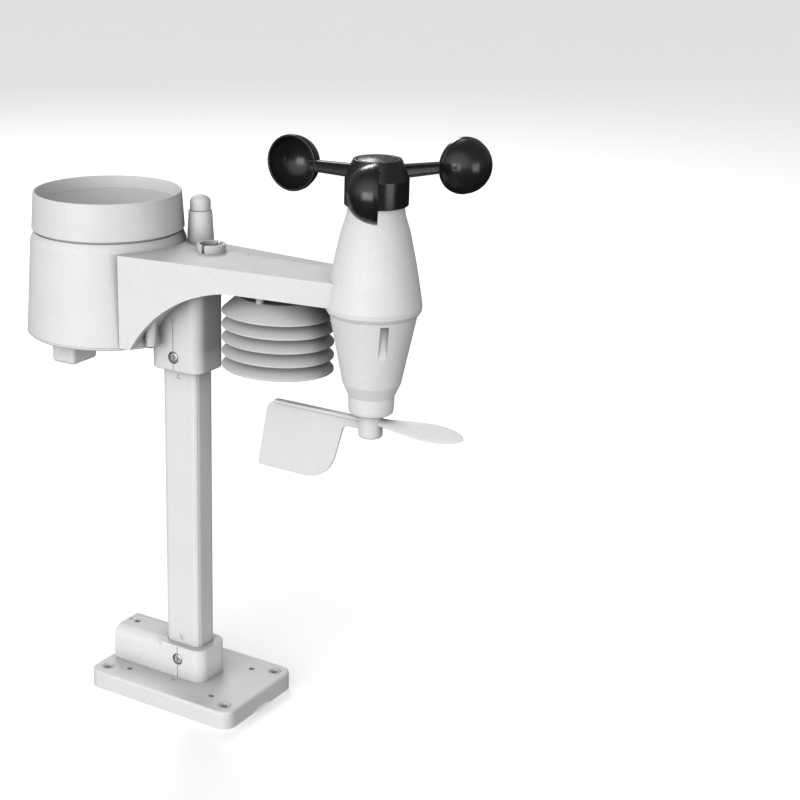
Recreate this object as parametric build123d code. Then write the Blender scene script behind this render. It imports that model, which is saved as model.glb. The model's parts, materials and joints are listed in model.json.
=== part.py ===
from build123d import *
import math
import os

# Outdoor weather sensor on a single post: rain gauge, cross arm, radiation shield,
# cup anemometer and wind vane, with the post clamped in a flat screw-down base.
# Frame: millimetres, +Z up, origin on the underside of the base at the post's axis.
# +X runs from the rain gauge to the wind sensor, and the arm's front faces -Y.

# ---------------------------------------------------------------- driving dimensions
SEAM = 0.15                     # gap left between mouldings of the same body

PLATE_X, PLATE_Y, PLATE_Z = 118.8, 80.8, 12.7
PLATE_R = 9.0
PLATE_SKIN = 3.0                # top skin and rim of the hollow plate
SCREW_X, SCREW_Y = 50.0, 30.0   # corner screw holes, half spacings
SMALL_X, SMALL_Y = 35.0, 24.0   # small screw holes, half spacings
SCREW_R, SMALL_R = 2.4, 2.1
SCREW_RING, SINK_R = (3.9, 4.4), 3.3    # groove round each corner hole, and its countersink
SADDLE_R, SADDLE_DEPTH = 22.3, 2.9
EDGE_R = 1.8                    # rounding of the plate's top edge
MARK_DEPTH = 0.5                # depth of the small triangular marks

POLE_X, POLE_Y, POLE_R = 28.0, 19.8, 4.4
POLE_WALL = 1.8
PARTING, PARTING_TURN = 0.22, 33.0  # half width of the parting lines, and where they run round the corners
POLE_BOTTOM, POLE_TOP = 13.4, 262.0
POLE_FIT = 0.3                  # clearance round the post in its sockets

SOCKET_X, SOCKET_Y, SOCKET_R = 40.0, 31.2, 8.0
SOCKET_TOP = 36.2
BLOCK_END, BLOCK_TOP = -55.0, 36.6
BLOCK_HOLE_X = -46.5
BASE_SCREW_Z, HEAD_SCREW_Z = 26.4, 243.4
HEAD_BOTTOM, HEAD_STEP = 234.0, 268.0

RAIN_X = -64.0                  # axis of the rain gauge
RAIN_Z0, RAIN_Z1 = 249.5, 312.3 # underside and top corner of its body
RAIN_R0, RAIN_R1 = 55.7, 51.55
WALL = 2.2
SHOULDER_R, SHOULDER_Z = 49.1, 317.9
NECK_R, NECK_TOP = 47.8, 326.0
RING_Z0, RIM_Z = 319.5, 343.5
RING_R0, RING_R1 = 50.55, 48.8
FUNNEL_TOP, FUNNEL_LOW, SPOUT_LOW = 335.5, 301.0, 294.0
SPOUT_R = 3.2

ARM_TOP, ARM_REAR_DROP = 312.5, 3.0
ARM_LOW = 297.0                 # straight lower edge of the arm
ARM_START = -24.4               # the arm's sides stand proud of the rain gauge from here on
ARM_HALF_RAIN, ARM_HALF_WIND = 45.04, 20.92
ARCH_X, ARCH_Z, ARCH_R = 62.0, 207.1, 90.4
ARCH_FOOT = 251.6
SHEET_LOW, SHEET_TOP = 1.3, 3.3 # lower cover's two faces, measured in from the arm's lower edge
LUG_Z, LUG_SEAT_Z = 252.5, 271.5    # foot of the screw lugs under the arch, and of the bosses over them
FLAT_TOP_Y = 9.5                # the arm's top slopes down behind this line

ANTENNA_X, ANTENNA_Y = -9.5, 28.5
ANTENNA_SEAM, ANTENNA_TOP = 331.7, 341.8
LEVEL_X, LEVEL_Y, LEVEL_R = 16.8, 4.2, 9.3

SHIELD_X, SHIELD_A, SHIELD_B = 70.7, 36.8, 31.9
SHIELD_RIM_TOP, SHIELD_PITCH, SHIELD_COUNT = 281.3, 8.75, 5
POST_X, POST_Y = 24.8, 19.9     # posts that carry the louvres, from the shield's axis

WIND_X = 139.64                 # axis of the wind sensors
SHAFT_R, RUNNING = 1.5, 0.05    # spindle radius and its clearance in the bearings
CUP_ARM, CUP_R, CUP_Z, CUP_WALL = 59.5, 17.2, 376.3, 1.3
CUP_PHASE = -60.0
VANE_Z = 224.4                  # top of the tail's rib

TIP_Z = 279.0                   # rocking axis of the tipping bucket
TIP_REST = 15.0                 # the bucket rests this far over to one side, degrees
CELL_R, CELL_L = 7.1, 50.0      # AA cell

DOOR_X, DOOR_Y = (-89.0, -24.0), (-14.0, 35.0)
CELL_X0 = -84.0                 # left end of the cells
CELL_Z, CELL_YS = 260.6, (-4.9, 10.2, 25.3)
TRAY_TOP = 270.6
FOOT_X, FOOT_Y, FOOT_Z = (-81.0, -62.0), (-42.0, -17.0), 233.5
BUTTON_X, BUTTON_Y = -97.0, -14.0
LED_X, LED_Y = -104.0, 2.0
CONTROL_Z = 254.7               # underside of the small board over the button

BOARD_Z = 303.6                 # underside of the main board
POST_GAP = 7.1                  # the posts end just under the next louvre's flat top
SLOT_ANGLE = -44.5              # direction of the first of three pockets in the lower cone
SLOT_FLOOR, SLOT_HALF, SLOT_TOP = 21.9, 2.7, 290.0
POINTER_Z, POINTER_LEAN = 223.6, 61.0

os.makedirs("parts", exist_ok=True)


# ---------------------------------------------------------------- helpers
def block(x0, x1, y0, y1, z0, z1):
    return Pos((x0 + x1) / 2, (y0 + y1) / 2, (z0 + z1) / 2) * Box(x1 - x0, y1 - y0, z1 - z0)


def prism(length_x, length_y, radius, z0, z1, x=0.0, y=0.0):
    """Upright prism with a rounded rectangular section."""
    return Pos(x, y, z0) * extrude(RectangleRounded(length_x, length_y, radius), z1 - z0)


def rod(radius, z0, z1, x=0.0, y=0.0):
    return Pos(x, y, (z0 + z1) / 2) * Cylinder(radius, z1 - z0)


def rod_y(radius, y0, y1, x, z):
    return Pos(x, (y0 + y1) / 2, z) * Rot(90, 0, 0) * Cylinder(radius, y1 - y0)


def rod_x(radius, x0, x1, y, z):
    return Pos((x0 + x1) / 2, y, z) * Rot(0, 90, 0) * Cylinder(radius, x1 - x0)


def turned(points, x=0.0, y=0.0):
    """Body of revolution about an upright axis, from (radius, z) corners."""
    face = make_face(Plane.XZ * Polyline(*points, close=True))
    return Pos(x, y, 0) * revolve(face, Axis.Z)


def cone(r0, z0, r1, z1, x=0.0, y=0.0):
    return turned([(0, z0), (r0, z0), (r1, z1), (0, z1)], x, y)


def slab(points, z0, z1):
    """Upright prism from (x, y) corners."""
    return Pos(0, 0, z0) * extrude(make_face(Polyline(*points, close=True)), z1 - z0)


def front_extrusion(face_xz, y0, y1):
    """Face drawn in x and z, extruded from y0 to y1."""
    return Pos(0, y1, 0) * extrude(Plane.XZ * face_xz, y1 - y0)


def top_edges(shape, z, tolerance=0.05):
    level = [e for e in shape.edges() if e.bounding_box().size.Z < tolerance]
    return [e for e in level if abs(e.center().Z - z) < tolerance]


def triangle_cut(x, y_face, z, size, depth, up):
    """Small triangular mark sunk into a front face."""
    tip = size * 0.6 if up else -size * 0.6
    corners = [(x - size / 2, z - tip / 2), (x + size / 2, z - tip / 2), (x, z + tip)]
    return front_extrusion(make_face(Polyline(*corners, close=True)), y_face - 1, y_face + depth)


def cross_head_screw(radius, length, head_r, head_h):
    """Screw along +Z with its head's underside at z = 0 and the head above it."""
    head = cone(head_r, 0, head_r * 0.72, head_h)
    recess = Box(head_r * 1.1, head_r * 0.26, head_h) + Box(head_r * 0.26, head_r * 1.1, head_h)
    return rod(radius, -length, 0) + head - Pos(0, 0, head_h) * recess


def group(shapes):
    return Compound(children=[s.solid() if isinstance(s, Part) else s for s in shapes])


def save(shape, node):
    export_step(shape, f"parts/{node}.step")


# ---------------------------------------------------------------- base and post
def base_plate():
    """Hollow screw-down plate with an upright socket and a sideways socket block."""
    plate = prism(PLATE_X, PLATE_Y, PLATE_R, 0, PLATE_Z)
    plate = fillet(top_edges(plate, PLATE_Z), EDGE_R)
    rim = 2 * PLATE_SKIN
    hollow = prism(PLATE_X - rim, PLATE_Y - rim, PLATE_R - PLATE_SKIN, -1, PLATE_Z - PLATE_SKIN)
    ribs = block(-60, 60, -14.6, -12.6, 0, PLATE_Z) + block(-60, 60, 12.6, 14.6, 0, PLATE_Z)
    for x in (-22.0, 22.0):
        ribs += block(x - 1, x + 1, -40, 40, 0, PLATE_Z)
    for x in (-SCREW_X, SCREW_X):
        for y in (-SCREW_Y, SCREW_Y):
            ribs += rod(6.6, 0, PLATE_Z, x, y)
    plate -= hollow - ribs
    tower = prism(SOCKET_X, SOCKET_Y, SOCKET_R, PLATE_Z - 0.5, SOCKET_TOP)
    tower = fillet(top_edges(tower, SOCKET_TOP), 0.9)
    flat_start = SOCKET_R - SOCKET_X / 2
    sideways = block(BLOCK_END, flat_start, -SOCKET_Y / 2, SOCKET_Y / 2, PLATE_Z - 0.5, BLOCK_TOP)
    long_edges = sideways.edges().filter_by(Axis.X).group_by(Axis.Z)[-1]
    sideways = fillet(long_edges, 7.5)
    body = plate + tower + sideways
    body -= pole_prism(POLE_FIT, POLE_BOTTOM - 0.2, SOCKET_TOP + 1)
    body -= Pos(BLOCK_END - 1, 0, 23.8) * Rot(0, 90, 0) * Rot(0, 0, 90) * pole_prism(POLE_FIT, 0, 33)
    body -= rod(2.3, 30, BLOCK_TOP + 1, BLOCK_HOLE_X)
    body -= top_mark(BLOCK_HOLE_X - 5.6, 0, BLOCK_TOP)
    for x in (-SCREW_X, SCREW_X):
        for y in (-SCREW_Y, SCREW_Y):
            body -= rod(SCREW_R, -1, PLATE_Z + 1, x, y)
            body -= cone(SCREW_R, PLATE_Z - 2.0, SINK_R, PLATE_Z + 0.1, x, y)
            body -= (rod(SCREW_RING[1], PLATE_Z - 0.6, PLATE_Z + 1, x, y)
                     - rod(SCREW_RING[0], PLATE_Z - 1, PLATE_Z + 2, x, y))
    for x in (-SMALL_X, SMALL_X):
        for y in (-SMALL_Y, SMALL_Y):
            body -= rod(SMALL_R, 5, PLATE_Z + 1, x, y)
    body -= rod_x(SADDLE_R, -70, 70, 0, SADDLE_DEPTH - SADDLE_R)
    body -= rod_y(2.2, -20, 20, 0, BASE_SCREW_Z)
    body -= rod_y(4.2, -20, -SOCKET_Y / 2 + 2.2, 0, BASE_SCREW_Z)
    body -= nut_pocket(BASE_SCREW_Z)
    body -= block(-0.35, 0.35, -SOCKET_Y / 2 - 1, -SOCKET_Y / 2 + 0.4, PLATE_Z, SOCKET_TOP + 1)
    body -= top_mark(0, -20.4, PLATE_Z)
    return body


def top_mark(x, y, z):
    """Small triangular mark sunk into a level face, pointing to -Y."""
    mark = make_face(Polyline((x - 2.2, y + 1.2), (x + 2.2, y + 1.2), (x, y - 2.0), close=True))
    return Pos(0, 0, z - MARK_DEPTH) * extrude(mark, 2)


def nut_pocket(z):
    """Six-sided recess in the back of a socket for the clamp nut."""
    hexagon = Plane.XZ * RegularPolygon(4.15, 6)
    return Pos(0, SOCKET_Y / 2 + 1, z) * extrude(hexagon, 4.3)


def pole_prism(grow, z0, z1):
    """Upright prism of the post's section."""
    return prism(POLE_X + 2 * grow, POLE_Y + 2 * grow, POLE_R + grow, z0, z1)


def pole():
    tube = pole_prism(0.0, POLE_BOTTOM, POLE_TOP)
    inside = 2 * POLE_WALL
    tube -= prism(POLE_X - inside, POLE_Y - inside, POLE_R - POLE_WALL, POLE_BOTTOM - 1, POLE_TOP + 1)
    for z in (BASE_SCREW_Z, HEAD_SCREW_Z):
        tube -= rod_y(2.2, -20, 20, 0, z)
    tube -= triangle_cut(0, -POLE_Y / 2, HEAD_BOTTOM - 5.0, 4.0, MARK_DEPTH, True)
    tube -= triangle_cut(0, -POLE_Y / 2, SOCKET_TOP + 5.1, 4.6, MARK_DEPTH, False)
    turn = math.radians(PARTING_TURN)
    line_x = POLE_X / 2 - POLE_R * (1 - math.cos(turn))
    line_y = POLE_Y / 2 - POLE_R * (1 - math.sin(turn))
    for x in (-line_x, line_x):
        for y in (-line_y, line_y):
            tube -= block(x - PARTING, x + PARTING, y - PARTING, y + PARTING, POLE_BOTTOM - 1, POLE_TOP + 1)
    return tube


def clamp_screw(z):
    """Cross-head machine screw through a socket and the post, head at the front."""
    screw = cross_head_screw(1.9, 26.6, 3.8, 2.0)
    return Pos(0, -SOCKET_Y / 2 + 2.2, z) * Rot(90, 0, 0) * screw


def clamp_nut(z):
    nut = extrude(Plane.XZ * (RegularPolygon(3.9, 6) - Circle(1.95)), 3.0)
    return Pos(0, SOCKET_Y / 2 - 0.2, z) * nut


# ---------------------------------------------------------------- housings
def rain_radius(z):
    return RAIN_R0 + (RAIN_R1 - RAIN_R0) * (z - RAIN_Z0) / (RAIN_Z1 - RAIN_Z0)


def rain_outside(grow=0.0, z0=RAIN_Z0 + 2.0, z1=RAIN_Z1):
    return cone(rain_radius(z0) + grow, z0, rain_radius(z1) + grow, z1, RAIN_X)


def arm_half_width(x, inset=0.0):
    """Half width of the arm at a station along X, measured inside a given wall."""
    taper = (ARM_HALF_WIND - ARM_HALF_RAIN) / (WIND_X - RAIN_X)
    return ARM_HALF_RAIN + taper * (x - RAIN_X) - inset * math.hypot(1, taper)


def arm_plan(z0, z1, inset=0.0):
    """Tapered arm in plan, from its square end beside the rain gauge to the wind sensor's axis."""
    x0, x1 = ARM_START + inset, WIND_X
    near, far = arm_half_width(x0, inset), arm_half_width(x1, inset)
    return slab([(x0, -near), (x1, -far), (x1, far), (x0, near)], z0, z1)


def arch_section(inset, depth=80.0):
    """Space under the arm in the x-z plane, raised by an inset; cut with it."""
    radius = ARCH_R + inset
    low, straight = ARCH_FOOT + inset * 0.2, ARM_LOW + inset
    x_foot = ARCH_X - math.sqrt(radius**2 - (low - ARCH_Z)**2)
    x_flat = ARCH_X - math.sqrt(radius**2 - (straight - ARCH_Z)**2)
    angle = math.radians((math.degrees(math.atan2(low - ARCH_Z, x_foot - ARCH_X))
                          + math.degrees(math.atan2(straight - ARCH_Z, x_flat - ARCH_X))) / 2)
    middle = (ARCH_X + radius * math.cos(angle), ARCH_Z + radius * math.sin(angle))
    arc = ThreePointArc((x_foot, low), middle, (x_flat, straight))
    rest = Polyline((x_flat, straight), (160, straight), (160, low - depth), (RAIN_X - 60, low - depth),
                    (RAIN_X - 60, low), (x_foot, low))
    return make_face([arc, rest])


def arch_space(inset):
    return front_extrusion(arch_section(inset), -70, 70)


def wind_cone_outside(grow=0.0):
    profile = [(0, 292.6), (27.6, 292.6), (28.9, 294.6), (29.2, 297.4), (26.8, 312.2), (24.0, 326.8),
               (20.8, 341.6), (17.4, 352.6), (16.9, 357.5), (0, 357.5)]
    return turned([(r + grow if r else 0, z) for r, z in profile], WIND_X)


def wind_cone_inside():
    return turned([(0, 291), (26.9, 291), (26.9, 297.2), (24.6, 312.0), (21.8, 326.6),
                   (18.6, 341.4), (15.2, 352.4), (15.2, 355.3), (0, 355.3)], WIND_X)


def column_space(grow=0.0, z1=HEAD_STEP):
    return prism(SOCKET_X + 2 * grow, SOCKET_Y + 2 * grow, SOCKET_R + grow, HEAD_BOTTOM - 1, z1 + grow)


def upper_housing():
    """One moulding: rain gauge body, arm shell and upper cone of the wind sensor."""
    arm = arm_plan(ARCH_FOOT, ARM_TOP) - arch_space(0.0)
    slope = slope_plane_space()
    arm -= slope
    cavity = arm_plan(ARCH_FOOT - 1, ARM_TOP - WALL, WALL)
    cavity -= Pos(0, 0, -WALL) * slope
    cavity -= rain_outside(0, 240, ARM_TOP)
    cavity -= wind_cone_outside()
    inner_neck, deck = NECK_R - 2.0, 314.0
    foot = RAIN_Z0 + 2.0
    body = turned([(0, foot), (rain_radius(foot), foot), (RAIN_R1, RAIN_Z1), (SHOULDER_R, SHOULDER_Z),
                   (NECK_R, SHOULDER_Z), (NECK_R, NECK_TOP), (0, NECK_TOP)], RAIN_X)
    eaves = deck - 4.0
    chamber = turned([(0, RAIN_Z0), (rain_radius(RAIN_Z0) - WALL, RAIN_Z0),
                      (rain_radius(eaves) - WALL, eaves), (inner_neck, deck),
                      (inner_neck, NECK_TOP + 1), (0, NECK_TOP + 1)], RAIN_X)
    shell = body + (arm - cavity) + wind_cone_outside()
    shell -= chamber
    shell -= wind_cone_inside()
    shell += rod(6.5, 331.0, 356.5, WIND_X)
    shell -= rod(2.3, 320, 360, WIND_X)
    for z0, z1 in ((354.5, 358), (330, 334.0)):
        shell -= rod(4.05, z0, z1, WIND_X)
    shell -= column_space(SEAM)
    shell -= rod(3.0, 305, 314, ANTENNA_X, ANTENNA_Y)
    for start in (-83, 97):
        shell += level_ring(start)
    shell += block(39.4, 42.6, 8.0, 9.3, ARM_TOP - 0.5, ARM_TOP + 0.4)
    for x, y, head_z, seat_z, length in housing_screw_places():
        shell += rod(3.6, seat_z, ARM_TOP - 1.0, x, y) - slope
        shell -= rod(1.2, seat_z - 1, head_z + length + 0.5, x, y)
    for x, y in shield_posts():
        shell += rod(3.4, ARM_LOW + SHEET_TOP + SEAM, ARM_TOP - 1.5, x, y)
        shell -= rod(1.2, 290, 308.5, x, y)
    shell += rain_screw_bosses()
    return shell


def level_ring(start):
    """Half of the collar round the bubble level, leaving two slits."""
    ring = rod(LEVEL_R, ARM_TOP - 0.6, ARM_TOP + 5.0) - rod(LEVEL_R - 1.6, ARM_TOP - 1, ARM_TOP + 6)
    wedge_points = [(0, 0)]
    for step in range(5):
        angle = math.radians(start + step * 41.5)
        wedge_points.append((20 * math.cos(angle), 20 * math.sin(angle)))
    return Pos(LEVEL_X, LEVEL_Y, 0) * (ring & slab(wedge_points, ARM_TOP - 1, ARM_TOP + 6))


def housing_screw_places():
    """x, y, underside of the head, foot of the upper boss and length of each screw."""
    flat = ARM_LOW + SHEET_LOW
    places = [(-10.0, -26.0, LUG_Z, LUG_SEAT_Z, 24.0), (-6.0, 22.0, LUG_Z, LUG_SEAT_Z + 5.5, 30.0)]
    for side in (-1, 1):
        places.append((56.0, side * 23.0, flat, flat + 2.0 + SEAM, 8.0))
        places.append((108.5, side * 14.0, flat, flat + 2.0 + SEAM, 8.0))
    return places


def rain_screw_bosses():
    bosses = None
    for x, y in rain_screw_places():
        radius = rain_radius(262) - WALL - 3.0
        boss = rod(3.6, RAIN_Z0 + 2 + SEAM, 262, x, y) - rod(1.2, RAIN_Z0, 260, x, y)
        web_x = RAIN_X + (x - RAIN_X) * 1.08
        web_y = y * 1.08
        web = rod(2.6, RAIN_Z0 + 2 + SEAM, 262, web_x, web_y) - rod(1.3, RAIN_Z0, 260, x, y)
        both = (boss + web) & rain_outside(-0.5, RAIN_Z0 + 2 + SEAM, 262)
        bosses = both if bosses is None else bosses + both
    return bosses


def rain_screw_places():
    places = []
    for degrees in (55, 135, 218, 305):
        angle = math.radians(degrees)
        places.append((RAIN_X + 48.6 * math.cos(angle), 48.6 * math.sin(angle)))
    return places


def arm_underside():
    """Lower cover of the arm, with the upper socket for the post."""
    sheet = arm_plan(ARCH_FOOT - 5, ARM_TOP - 4, WALL + SEAM)
    sheet = sheet - arch_space(SHEET_LOW)
    sheet = sheet & arch_space(SHEET_TOP)
    column = prism(SOCKET_X, SOCKET_Y, SOCKET_R, HEAD_BOTTOM, 305)
    column = fillet(column.edges().group_by(Axis.Z)[0], 1.2)
    upper = column & arch_space(SHEET_TOP) & block(-60, 60, -40, 40, HEAD_STEP, 310)
    upper -= rain_outside(SEAM, 240, RAIN_Z1)
    hollow = prism(SOCKET_X - 5, SOCKET_Y - 5, SOCKET_R - 2.5, HEAD_STEP, 305)
    lower = column & block(-60, 60, -40, 40, HEAD_BOTTOM - 1, HEAD_STEP)
    sheet -= rain_outside(SEAM, 240, RAIN_Z1)
    sheet -= wind_cone_outside(SEAM)
    cover = sheet + upper - hollow
    cover += lower
    cover -= pole_prism(POLE_FIT, HEAD_BOTTOM - 1, POLE_TOP + 0.4)
    cover -= rod_y(2.2, -20, 20, 0, HEAD_SCREW_Z)
    cover -= rod_y(4.2, -20, -SOCKET_Y / 2 + 2.2, 0, HEAD_SCREW_Z)
    cover -= nut_pocket(HEAD_SCREW_Z)
    cover -= block(-0.35, 0.35, -SOCKET_Y / 2 - 1, -SOCKET_Y / 2 + 0.4, HEAD_BOTTOM - 1, 265.6)
    cover -= triangle_cut(0, -SOCKET_Y / 2, 268.5, 3.6, MARK_DEPTH, False)
    for x, y, head_z, seat_z, length in housing_screw_places():
        if head_z == LUG_Z:
            lug = cone(3.1, LUG_Z, 4.7, LUG_Z + 22, x, y) & arch_space(SHEET_TOP)
            cover += lug
        cover -= rod(1.5, head_z - 1, seat_z + 1, x, y)
    for x, y in shield_posts():
        cover -= rod(1.8, 290, 305, x, y)
    return cover


def housing_screws():
    screws = []
    for x, y, head_z, seat_z, length in housing_screw_places():
        screws.append(Pos(x, y, head_z) * Rot(180, 0, 0) * cross_head_screw(1.15, length, 2.6, 1.4))
    return group(screws)


# ---------------------------------------------------------------- rain gauge
def rain_bottom_cover():
    """Disc under the rain gauge, with the hollow drain foot and the battery opening."""
    radius, top = rain_radius(RAIN_Z0), RAIN_Z0 + 2.0 - SEAM
    disc = turned([(0, RAIN_Z0), (radius - 1.0, RAIN_Z0), (radius, RAIN_Z0 + 1.0), (radius, top),
                   (0, top)], RAIN_X)
    foot = block(*FOOT_X, *FOOT_Y, FOOT_Z, RAIN_Z0 + 0.5)
    foot = fillet(foot.edges().filter_by(Axis.Z) + foot.edges().group_by(Axis.Z)[0], 2.6)
    wall = 1.8
    channel = block(FOOT_X[0] + wall, FOOT_X[1] - wall, FOOT_Y[0] + wall, FOOT_Y[1] - wall,
                    FOOT_Z + wall, top + 1)
    cover = disc + foot - channel
    for step in range(3):
        y = FOOT_Y[0] + 6.5 + step * 6.0
        cover -= block(FOOT_X[0] + 5, FOOT_X[1] - 5, y - 1.2, y + 1.2, FOOT_Z - 1, FOOT_Z + 3)
    cover -= block(*DOOR_X, *DOOR_Y, RAIN_Z0 - 1, RAIN_Z0 + 3)
    cover -= column_space(SEAM)
    cover -= rod(2.75, RAIN_Z0 - 1, RAIN_Z0 + 3, BUTTON_X, BUTTON_Y)
    cover -= rod(1.65, RAIN_Z0 - 1, RAIN_Z0 + 3, LED_X, LED_Y)
    for x, y in rain_screw_places():
        cover -= rod(1.5, RAIN_Z0 - 1, RAIN_Z0 + 3, x, y)
    for step in range(4):
        y = -20.0 - step * 6.0
        cover -= block(-58.0, -42.0, y - 1.2, y + 1.2, RAIN_Z0 - 1, RAIN_Z0 + 3)
    for x, y in ((-108.0, -15.0), (-94.0, 4.0)):
        cover += rod(2.0, RAIN_Z0 + 1.0, CONTROL_Z, x, y)
    return cover


def bottom_cover_screws():
    screws = []
    for x, y in rain_screw_places():
        screws.append(Pos(x, y, RAIN_Z0) * Rot(180, 0, 0) * cross_head_screw(1.15, 8, 2.6, 1.3))
    return group(screws)


def battery_door():
    """Cover plate under the cells, with finger ribs and two tongues at one end."""
    gap = 0.3
    x0, x1, y0, y1 = DOOR_X[0] + gap, DOOR_X[1] - gap, DOOR_Y[0] + gap, DOOR_Y[1] - gap
    door = block(x0, x1, y0, y1, RAIN_Z0, RAIN_Z0 + 1.6)
    for step in range(5):
        x = x0 + 6 + step * 2.4
        door += block(x, x + 1.0, 3, 18, RAIN_Z0 - 0.6, RAIN_Z0 + 0.5)
    door -= rod(1.5, RAIN_Z0 - 1, RAIN_Z0 + 3, x1 - 4, 10.5)
    return door


def battery_door_screw():
    screw = cross_head_screw(1.2, 6.5, 2.8, 1.3)
    return Pos(DOOR_X[1] - 4.3, 10.5, RAIN_Z0) * Rot(180, 0, 0) * screw


def battery_tray():
    """Open-bottomed box over the three cells, closed on top against the rain water."""
    x0, x1, y0, y1 = DOOR_X[0] + 1.0, DOOR_X[1] - 1.0, DOOR_Y[0] + 0.5, DOOR_Y[1] - 0.5
    tray = block(x0, x1, y0, y1, RAIN_Z0 + 2.2, TRAY_TOP)
    tray -= block(x0 + 1.4, x1 - 1.4, y0 + 1.4, y1 - 1.4, RAIN_Z0 + 1, TRAY_TOP - 1.6)
    for y in (2.65, 17.75):
        tray += block(CELL_X0 + 10, CELL_X0 + 40, y - 0.3, y + 0.3, CELL_Z + 2, TRAY_TOP - 1)
    post_x, post_y = DOOR_X[1] - 4.3, 10.5
    tray += block(post_x - 1.6, x1 - 0.5, post_y - 3, post_y + 3, RAIN_Z0 + 2.2, RAIN_Z0 + 9)
    tray -= rod(1.25, RAIN_Z0, RAIN_Z0 + 7.5, post_x, post_y)
    return tray


def cell(index):
    """AA cell lying along X, its button end turned round on the middle one."""
    body = rod_x(CELL_R, 0, CELL_L - 1.6, 0, 0)
    body = fillet(body.edges().filter_by(GeomType.CIRCLE), 0.6)
    body += rod_x(2.7, CELL_L - 2, CELL_L, 0, 0)
    if index == 1:
        body = Pos(CELL_L, 0, 0) * Rot(0, 0, 180) * body
    return Pos(CELL_X0, CELL_YS[index], CELL_Z) * body


def contact_plates():
    """Flat contacts at the button ends of the cells."""
    plates = []
    for index, y in enumerate(CELL_YS):
        x = CELL_X0 - 0.5 if index == 1 else CELL_X0 + CELL_L + 0.1
        plates.append(block(x, x + 0.4, y - 4.5, y + 4.5, CELL_Z - 5, CELL_Z + 5))
    return group(plates)


def contact_springs():
    """Conical cell springs, each a closed body of stepped turns."""
    springs = []
    for index, y in enumerate(CELL_YS):
        towards, start = (1, CELL_X0 + CELL_L + 0.05) if index == 1 else (-1, CELL_X0 - 0.05)
        turns = None
        for step in range(3):
            x0, x1 = sorted((start + towards * step * 0.62, start + towards * (step * 0.62 + 0.66)))
            radius = 2.4 + step * 0.7
            turn = rod_x(radius, x0, x1, y, CELL_Z) - rod_x(radius - 0.9, x0 - 1, x1 + 1, y, CELL_Z)
            turns = turn if turns is None else turns + turn
        springs.append(turns)
    return group(springs)


def reset_button():
    """Small push button with a collar that keeps it in its hole."""
    button = rod(2.5, RAIN_Z0 - 1.2, RAIN_Z0 + 3.0) + rod(3.6, RAIN_Z0 + 2.0, RAIN_Z0 + 3.0)
    button = fillet(button.edges().group_by(Axis.Z)[0], 0.4)
    return Pos(BUTTON_X, BUTTON_Y, 0) * button


def led_indicator():
    led = rod(1.5, RAIN_Z0 + 0.5, RAIN_Z0 + 5.0) + rod(1.9, RAIN_Z0 + 3.6, RAIN_Z0 + 5.0)
    led = led + Pos(0, 0, RAIN_Z0 + 0.5) * Sphere(1.5)
    return Pos(LED_X, LED_Y, 0) * led


def control_board():
    """Small board over the button and the lamp."""
    return block(-111.0, -90.0, -20, 8, CONTROL_Z, CONTROL_Z + 1.6)


def button_switch():
    return block(BUTTON_X - 3, BUTTON_X + 3, BUTTON_Y - 3, BUTTON_Y + 3, CONTROL_Z - 1.3, CONTROL_Z)


def rain_collector():
    """Lift-off collector ring with its funnel and spout, resting on the body's neck."""
    bowl_r, skirt_r = 46.6, RING_R0 - 1.9
    slope = (FUNNEL_TOP - FUNNEL_LOW) / (bowl_r - SPOUT_R)
    below = FUNNEL_LOW - 1.0
    under_r = skirt_r - 1.25
    profile = [
        (RING_R0, RING_Z0), (RING_R0 - 0.15, RING_Z0 + 2.0), (RING_R1, RIM_Z - 0.5), (RING_R1 - 0.4, RIM_Z),
        (RING_R1 - 1.2, RIM_Z), (RING_R1 - 1.7, RIM_Z - 1.2), (bowl_r, FUNNEL_TOP),
        (SPOUT_R, FUNNEL_LOW), (SPOUT_R, SPOUT_LOW), (SPOUT_R + 1.8, SPOUT_LOW),
        (SPOUT_R + 1.8, below), (under_r, below + (under_r - SPOUT_R - 1.8) * slope),
        (under_r, NECK_TOP + 1.9), (NECK_R - 2.2, NECK_TOP + 1.9), (NECK_R - 2.2, NECK_TOP + 0.1),
        (skirt_r, NECK_TOP + 0.1), (skirt_r, RING_Z0),
    ]
    return turned(profile, RAIN_X)


def tipping_bucket():
    """Two-sided bucket on its rocking axis, drawn level and then laid over to its stop."""
    half, width = 27.0, 11.0
    floor_z = TIP_Z - 3.6
    side, crest = floor_z + 11.0, floor_z + 14.5
    section = Polyline((-half, floor_z + 5), (0, floor_z), (half, floor_z + 5), (half, side), (0, crest),
                       (-half, side), close=True)
    outside = Pos(RAIN_X - width, 0, 0) * extrude(make_face(Plane.YZ * section), 2 * width)
    above = floor_z + 20.0
    space = Polyline((-half - 2, floor_z + 6.8), (-half, floor_z + 6.4), (-0.8, floor_z + 1.5), (-0.8, above),
                     (-half - 2, above), close=True)
    pocket = Pos(RAIN_X - width + 1.2, 0, 0) * extrude(make_face(Plane.YZ * space), 2 * width - 2.4)
    bucket = outside - pocket - mirror(pocket, Plane.XZ)
    bucket += rod_x(2.6, RAIN_X - width, RAIN_X + width, 0, TIP_Z)
    bucket -= rod_x(1.0, RAIN_X - width - 1, RAIN_X + width + 1, 0, TIP_Z)
    return lay_over(bucket)


def lay_over(shape):
    return Pos(0, 0, TIP_Z) * Rot(-TIP_REST, 0, 0) * Pos(0, 0, -TIP_Z) * shape


def bucket_axle():
    return lay_over(rod_x(1.0, RAIN_X - 15.5, RAIN_X + 15.5, 0, TIP_Z))


def bucket_magnet():
    return lay_over(rod_x(1.8, RAIN_X + 11.0, RAIN_X + 12.6, 0, TIP_Z + 7.0))


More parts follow.
